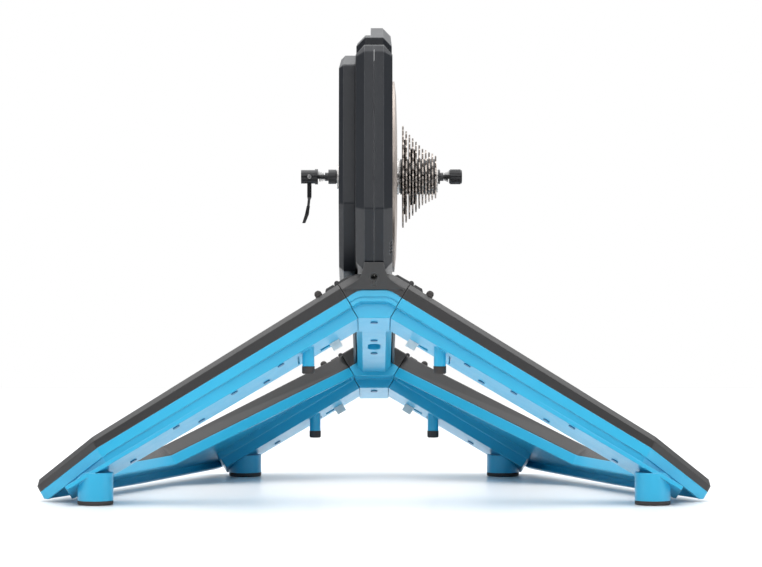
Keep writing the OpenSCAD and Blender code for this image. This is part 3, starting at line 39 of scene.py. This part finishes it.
bpy.context.scene.collection.objects.link(studio_floor)


def softbox(name, width, depth, power, place, aim):
    light = bpy.data.lights.new(name, "AREA")
    light.shape = "RECTANGLE"
    light.size = width
    light.size_y = depth
    light.energy = power
    box = bpy.data.objects.new(name, light)
    box.location = place
    box.rotation_euler = (Vector(aim) - Vector(place)).to_track_quat("-Z", "Y").to_euler()
    bpy.context.scene.collection.objects.link(box)


softbox("overhead", width=2.8, depth=2.4, power=44, place=(0, 0.1, 2.3), aim=(0, 0, 0.2))
softbox("ceiling", width=12, depth=12, power=560, place=(0, 0, 3.6), aim=(0, 0, 0))
softbox("rear_high", width=2.6, depth=0.9, power=26, place=(0, -3.1, 1.9), aim=(0, 0, 0.4))
for name, side in (("left_low", -1), ("right_low", 1)):
    softbox(name, width=1.6, depth=0.5, power=5, place=(side * 2.2, -1.0, 0.3), aim=(0, 0, 0.25))

eye_distance = 3.98184
eye_height = 0.298
degrees_down = 0.787
degrees_right = 0.118
lens = bpy.data.cameras.new("photo_lens")
lens.sensor_width = 36
lens.lens = 158.86
lens.clip_end = 60
camera = bpy.data.objects.new("photo_camera", lens)
camera.location = (0, -eye_distance, eye_height)
camera.rotation_euler = (math.radians(90 - degrees_down), 0, math.radians(-degrees_right))
bpy.context.scene.collection.objects.link(camera)
bpy.context.scene.camera = camera
bpy.context.scene.view_settings.view_transform = "Standard"


class Wire:
    """A node's output that takes part in sums."""

    def __init__(self, finish, socket):
        self.finish = finish
        self.socket = socket

    def sum(self, operation, *values):
        return self.finish.node("ShaderNodeMath", {"operation": operation}, dict(enumerate(values)))

    def __add__(self, other):
        return self.sum("ADD", self, other)

    def __sub__(self, other):
        return self.sum("SUBTRACT", self, other)

    def __rsub__(self, other):
        return self.sum("SUBTRACT", other, self)

    def __mul__(self, other):
        return self.sum("MULTIPLY", self, other)

    __radd__ = __add__
    __rmul__ = __mul__

    def between(self, low, high):
        """0 at or under low, 1 at or over high, and smooth between."""
        return self.finish.node("ShaderNodeMapRange", {"interpolation_type": "SMOOTHSTEP"},
            {"Value": self, "From Min": low, "From Max": high})


class Nodes:
    """A node tree and the few ways in which it is filled."""

    def __init__(self, owner):
        owner.use_nodes = True
        self.tree = owner.node_tree

    def node(self, kind, settings=None, sockets=None, out=0):
        made = self.tree.nodes.new(kind)
        for key, value in (settings or {}).items():
            setattr(made, key, value)
        for key, value in (sockets or {}).items():
            if isinstance(value, Wire):
                self.tree.links.new(value.socket, made.inputs[key])
            else:
                made.inputs[key].default_value = value
        return Wire(self, made.outputs[out])

    def part(self, vector, axis):
        """One coordinate of a vector."""
        return self.node("ShaderNodeSeparateXYZ", {}, {"Vector": vector}, out=axis)

    def mix(self, share, first, second):
        first, second = ((*c, 1) if isinstance(c, tuple) else c for c in (first, second))
        return self.node("ShaderNodeMix", {"data_type": "RGBA"}, {0: share, 6: first, 7: second}, out=2)


dim_end = (0.05, 0.055, 0.065)
pale_wall = (0.8, 0.81, 0.82)
seen_white = (1.0, 1.0, 1.0)
room = bpy.context.scene.world or bpy.data.worlds.new("room")
bpy.context.scene.world = room
cove = Nodes(room)
towards = cove.node("ShaderNodeTexCoord", out="Generated")
ahead = cove.part(towards, "Y")
above = cove.part(towards, "Z")
walls = cove.mix(ahead.between(-0.1, 0.6), dim_end, pale_wall)
walls = cove.mix(above.between(0.3, 0.9) * 0.7, walls, pale_wall)
seen = cove.node("ShaderNodeLightPath", out="Is Camera Ray")
backdrop = cove.mix(seen, walls, seen_white)
cove.tree.links.new(backdrop.socket, room.node_tree.nodes["Background"].inputs["Color"])


class Finish(Nodes):
    """A material: its shader, the values that hold all over, and what varies over the surface.

    rounding is the radius of the moulded, cast or broken edge, in metres."""

    def __init__(self, name, rounding, **even):
        self.material = bpy.data.materials.new(name)
        super().__init__(self.material)
        self.shader = self.tree.nodes["Principled BSDF"]
        for socket, value in even.items():
            self.shader.inputs[socket.replace("_", " ")].default_value = value
        self.place = self.node("ShaderNodeTexCoord", out="Object")
        self.edge = self.node("ShaderNodeBevel", {"samples": 6}, {"Radius": rounding})
        self.feed("Normal", self.edge)

    def noise(self, scale, detail):
        return self.node("ShaderNodeTexNoise", {}, {"Vector": self.place, "Scale": scale,
            "Detail": detail})

    def edge_wear_and_highlight(self):
        """1 on the crest of an edge and 0 on the flats: where edge wear and a painted highlight go."""
        flat = self.node("ShaderNodeNewGeometry", out="Normal")
        turned = self.node("ShaderNodeVectorMath", {"operation": "DOT_PRODUCT"}, {0: self.edge, 1: flat},
            out="Value")
        return (1 - turned).between(0.01, 0.12)

    def feed(self, socket, wire):
        self.tree.links.new(wire.socket, self.shader.inputs[socket])

    def tone(self, scale, dark, light, detail=3):
        """A base colour that drifts between two tones."""
        self.feed("Base Color", self.mix(self.noise(scale, detail), dark, light))

    def gloss(self, scale, swing, least, detail=3):
        """A roughness that wanders by swing above the least."""
        self.feed("Roughness", self.noise(scale, detail) * swing + least)

    def relief(self, height, depth, strength):
        self.feed("Normal", self.node("ShaderNodeBump", {}, {"Height": height, "Distance": depth,
            "Strength": strength, "Normal": self.edge}))

    def coat(self, *names):
        for name in names:
            nodes[name].data.materials.clear()
            nodes[name].data.materials.append(self.material)


# Spine casting and wing frames: die-cast aluminium in bright blue powder paint, with the
# paint's fine orange peel and edges rounded as cast. Their crests are paler, partly where the
# paint wears thinner and partly as a painted highlight.
blue_paint = Finish("blue_paint", 0.0016, Specular_IOR_Level=0.5)
drift = blue_paint.mix(blue_paint.noise(7, 3), (0.016, 0.33, 0.55), (0.026, 0.385, 0.62))
# Paler blue on the edge crests: partly thinner paint, partly a painted highlight.
thin_paint_and_highlight = blue_paint.edge_wear_and_highlight() * blue_paint.noise(60, 3)
blue_paint.feed("Base Color", blue_paint.mix(thin_paint_and_highlight * 0.5, drift, (0.12, 0.52, 0.8)))
blue_paint.gloss(60, swing=0.14, least=0.27)
blue_paint.relief(blue_paint.noise(800, 3), depth=0.00012, strength=0.5)
blue_paint.coat("base_spine", "left_wing_frame", "right_wing_frame")


def moulding(name, dark, light, edge_wear_and_highlight, rounding, rough, sheen):
    """Glass-filled nylon: a fine eroded grain, smoother along its edges and paler there, partly rubbed
    and partly a painted highlight.
    """
    made = Finish(name, rounding, Specular_IOR_Level=sheen)
    colour = made.mix(made.noise(12, 3), dark, light)
    # The pale crest colour is partly rubbing and partly a painted highlight.
    crest = made.edge_wear_and_highlight()
    made.feed("Base Color", made.mix(crest * (made.noise(45, 3) * 0.7 + 0.3), colour, edge_wear_and_highlight))
    made.feed("Roughness", made.noise(260, 3) * 0.14 + rough - crest * 0.08)
    made.relief(made.noise(1400, 2), depth=0.00016, strength=0.6)
    return made


# Wing, base and rear covers: shells of black nylon, moulded with a grained face and screwed
# down over the castings. Handling has rubbed their edges paler, and the pale edges also carry
# a painted highlight.
black_moulding = moulding("black_moulding", dark=(0.011, 0.0105, 0.011), light=(0.018, 0.0175, 0.018),
    edge_wear_and_highlight=(0.12, 0.118, 0.116), rounding=0.0015, rough=0.34, sheen=0.5)
black_moulding.coat("base_cover", "rear_cover", "left_wing_cover", "right_wing_cover")

# Housing: two charcoal half shells that meet on the middle plane, the motor cover on the
# left flank and the raised cap along the top, all of the same moulded nylon. Their edges are
# paler, partly rubbed and partly a painted highlight.
charcoal_moulding = moulding("charcoal_moulding", dark=(0.006, 0.0075, 0.0105),
    light=(0.011, 0.013, 0.017), edge_wear_and_highlight=(0.13, 0.134, 0.14), rounding=0.0018, rough=0.3, sheen=0.27)
charcoal_moulding.coat("body_shell_left", "body_shell_right", "motor_cover", "top_cap")

# Foot pads, post caps and nubs: black moulded rubber, each piece on a seat of its own. The
# rubber is matt, with a dusty bloom.
rubber = Finish("black_rubber", 0.0008, Specular_IOR_Level=0.3)
rubber.tone(40, (0.028, 0.025, 0.024), (0.055, 0.05, 0.048), detail=4)
rubber.gloss(120, swing=0.15, least=0.62)
rubber.relief(rubber.noise(1200, 2), depth=0.0002, strength=0.6)
rubber.coat("left_wing_rubber", "right_wing_rubber")


def metal(name, dark, light, rough, metallic=1.0, rounding=0.0003, grain=0.00005):
    """Steel or alloy: a mottled tone, and a grain that the tool or the plating left."""
    made = Finish(name, rounding, Metallic=metallic)
    made.tone(60, dark, light)
    made.gloss(320, swing=0.16, least=rough)
    made.relief(made.noise(1300, 2), depth=grain, strength=0.4)
    return made


# Hinges: black e-coated steel leaves on black pins. The same coat is on the axle with its
# spacer and end cap, the skewer's rod and springs, and the mast that carries the axle. The
# mast's foot shows under the motor cover.
black_steel = metal("black_steel", (0.014, 0.014, 0.015), (0.03, 0.03, 0.032), rough=0.3,
    metallic=0.2, rounding=0.0008, grain=0.0001)
black_steel.coat("center_hinge_leaves", "left_wing_leaves", "right_wing_leaves", "hinge_pins",
    "axle", "axle_spacer", "left_spring", "right_spring", "skewer_rod", "end_cap", "motor_mast")

# Motor inside the housing: turned steel rotor and bearings, and laminated stator core. The
# quick release's cam pin is turned steel too.
turned_steel = metal("turned_steel", (0.5, 0.49, 0.48), (0.62, 0.61, 0.6), rough=0.22)
turned_steel.coat("stator_core", "rotor", "cam_pin", "hub_bearings")

# Screws in the castings' undersides: zinc plated steel, painted over with the casting, so
# they show as darker blue dots.
painted_screw = Finish("painted_screw", 0.0003, Metallic=0.2)
painted_screw.tone(60, (0.01, 0.12, 0.25), (0.02, 0.18, 0.34))
painted_screw.gloss(300, swing=0.15, least=0.35)
painted_screw.coat("spine_screws", "left_wing_screws", "right_wing_screws")

# Latch clips: small sliders of milky translucent nylon, moulded in one piece each, that run
# in pockets under the ribs.
milky_nylon = Finish("milky_nylon", 0.0008, Subsurface_Weight=0.4,
    Subsurface_Radius=(0.004, 0.004, 0.004))
milky_nylon.tone(80, (0.74, 0.74, 0.72), (0.88, 0.88, 0.86))
milky_nylon.gloss(200, swing=0.15, least=0.26)
milky_nylon.coat("left_rear_latch", "left_front_latch", "right_rear_latch", "right_front_latch")

# Drive-side disc: a shallow dome of spun aluminium with a ring of slots, and with fine
# turning marks round the axle, one about every 0.7 mm.
turning_marks = 9000
axle_middle = (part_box("skewer_rod")[0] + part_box("skewer_rod")[1]) / 2
spun = Finish("spun_aluminium", 0.0004, Metallic=0.85)
centred = spun.node("ShaderNodeMapping", {}, {"Vector": spun.place,
    "Location": (0, -axle_middle.y, -axle_middle.z)})
spun_y = spun.part(centred, "Y")
spun_z = spun.part(centred, "Z")
from_axle = spun_y.sum("SQRT", spun_y * spun_y + spun_z * spun_z)
spun.tone(20, (0.37, 0.32, 0.285), (0.46, 0.405, 0.365))
spun.gloss(90, swing=0.12, least=0.36)
spun.relief(from_axle.sum("SINE", from_axle * turning_marks), depth=0.00002, strength=0.5)
spun.coat("drive_disc")

# Stator carrier, axle boss, freehub and lock ring: plain cast and turned aluminium, left
# bare. The freehub carries the cassette, and the lock ring closes it.
plain_aluminium = metal("plain_aluminium", (0.5, 0.48, 0.46), (0.64, 0.62, 0.6), rough=0.34,
    metallic=0.9, rounding=0.0004, grain=0.0001)
plain_aluminium.coat("stator_carrier", "axle_boss", "freehub_body", "lockring")

# Windings on the stator core: enamelled copper wire, whose strands show as a fine rib.
strand_ribs = 9000
copper = Finish("enamelled_copper", 0.0003, Metallic=1.0)
across = copper.part(copper.place, "X")
copper.tone(60, (0.45, 0.16, 0.06), (0.6, 0.24, 0.1))
copper.gloss(300, swing=0.15, least=0.28)
copper.relief(across.sum("SINE", across * strand_ribs), depth=0.0002, strength=0.8)
copper.coat("stator_coils")

# Circuit board of the motor: green lacquered laminate, fixed inside the housing, out of
# sight.
board = Finish("circuit_board", 0.0002, Specular_IOR_Level=0.5)
board.tone(120, (0.004, 0.06, 0.025), (0.01, 0.12, 0.05), detail=1)
board.gloss(300, swing=0.1, least=0.3, detail=2)
board.coat("circuit_board")

# Magnets in the rotor's rim and contacts in the power socket: both nickel plated, the
# brightest metal on the trainer.
nickel_plate = metal("nickel_plate", (0.62, 0.6, 0.56), (0.72, 0.7, 0.66), rough=0.14)
nickel_plate.coat("rotor_magnets", "socket_contacts")

# Power socket: a bush of gloss black plastic, moulded in one piece and set into the rear
# cover round its two contacts.
gloss_black = Finish("gloss_black", 0.0004, Specular_IOR_Level=0.5)
gloss_black.tone(60, (0.006, 0.006, 0.006), (0.014, 0.014, 0.014))
gloss_black.gloss(300, swing=0.1, least=0.2)
gloss_black.coat("power_socket")

# Cassette: nickel-plated steel sprockets. The large ones sit on two carriers, and the rest
# slide onto the freehub with spacers between them.
sprocket_steel = metal("sprocket_steel", (0.24, 0.21, 0.19), (0.42, 0.38, 0.35), rough=0.28,
    metallic=0.95, rounding=0.0002)
sprocket_steel.coat("sprockets_large", "sprockets_medium", "sprocket_17", "sprocket_15",
    "sprocket_14", "sprocket_13", "sprocket_12", "sprocket_11")

# Black anodised alloy: the cassette's carriers and spacers, and the quick release's head,
# lever and knurled nut.
black_alloy = metal("black_alloy", (0.006, 0.006, 0.007), (0.016, 0.016, 0.018), rough=0.24,
    metallic=0.3, rounding=0.0006)
black_alloy.coat("large_spider", "medium_spider", "cassette_spacers", "skewer_head",
    "skewer_lever", "skewer_nut")

# Floor's finish: white studio board with a soft gloss, laid in one sheet, in which the feet
# mirror a little.
studio_white = Finish("studio_white", 0.0002, Specular_IOR_Level=0.5)
studio_white.tone(2, (0.83, 0.835, 0.84), (0.85, 0.855, 0.86), detail=2)
studio_white.gloss(3, swing=0.05, least=0.22, detail=2)
floor_data.materials.append(studio_white.material)
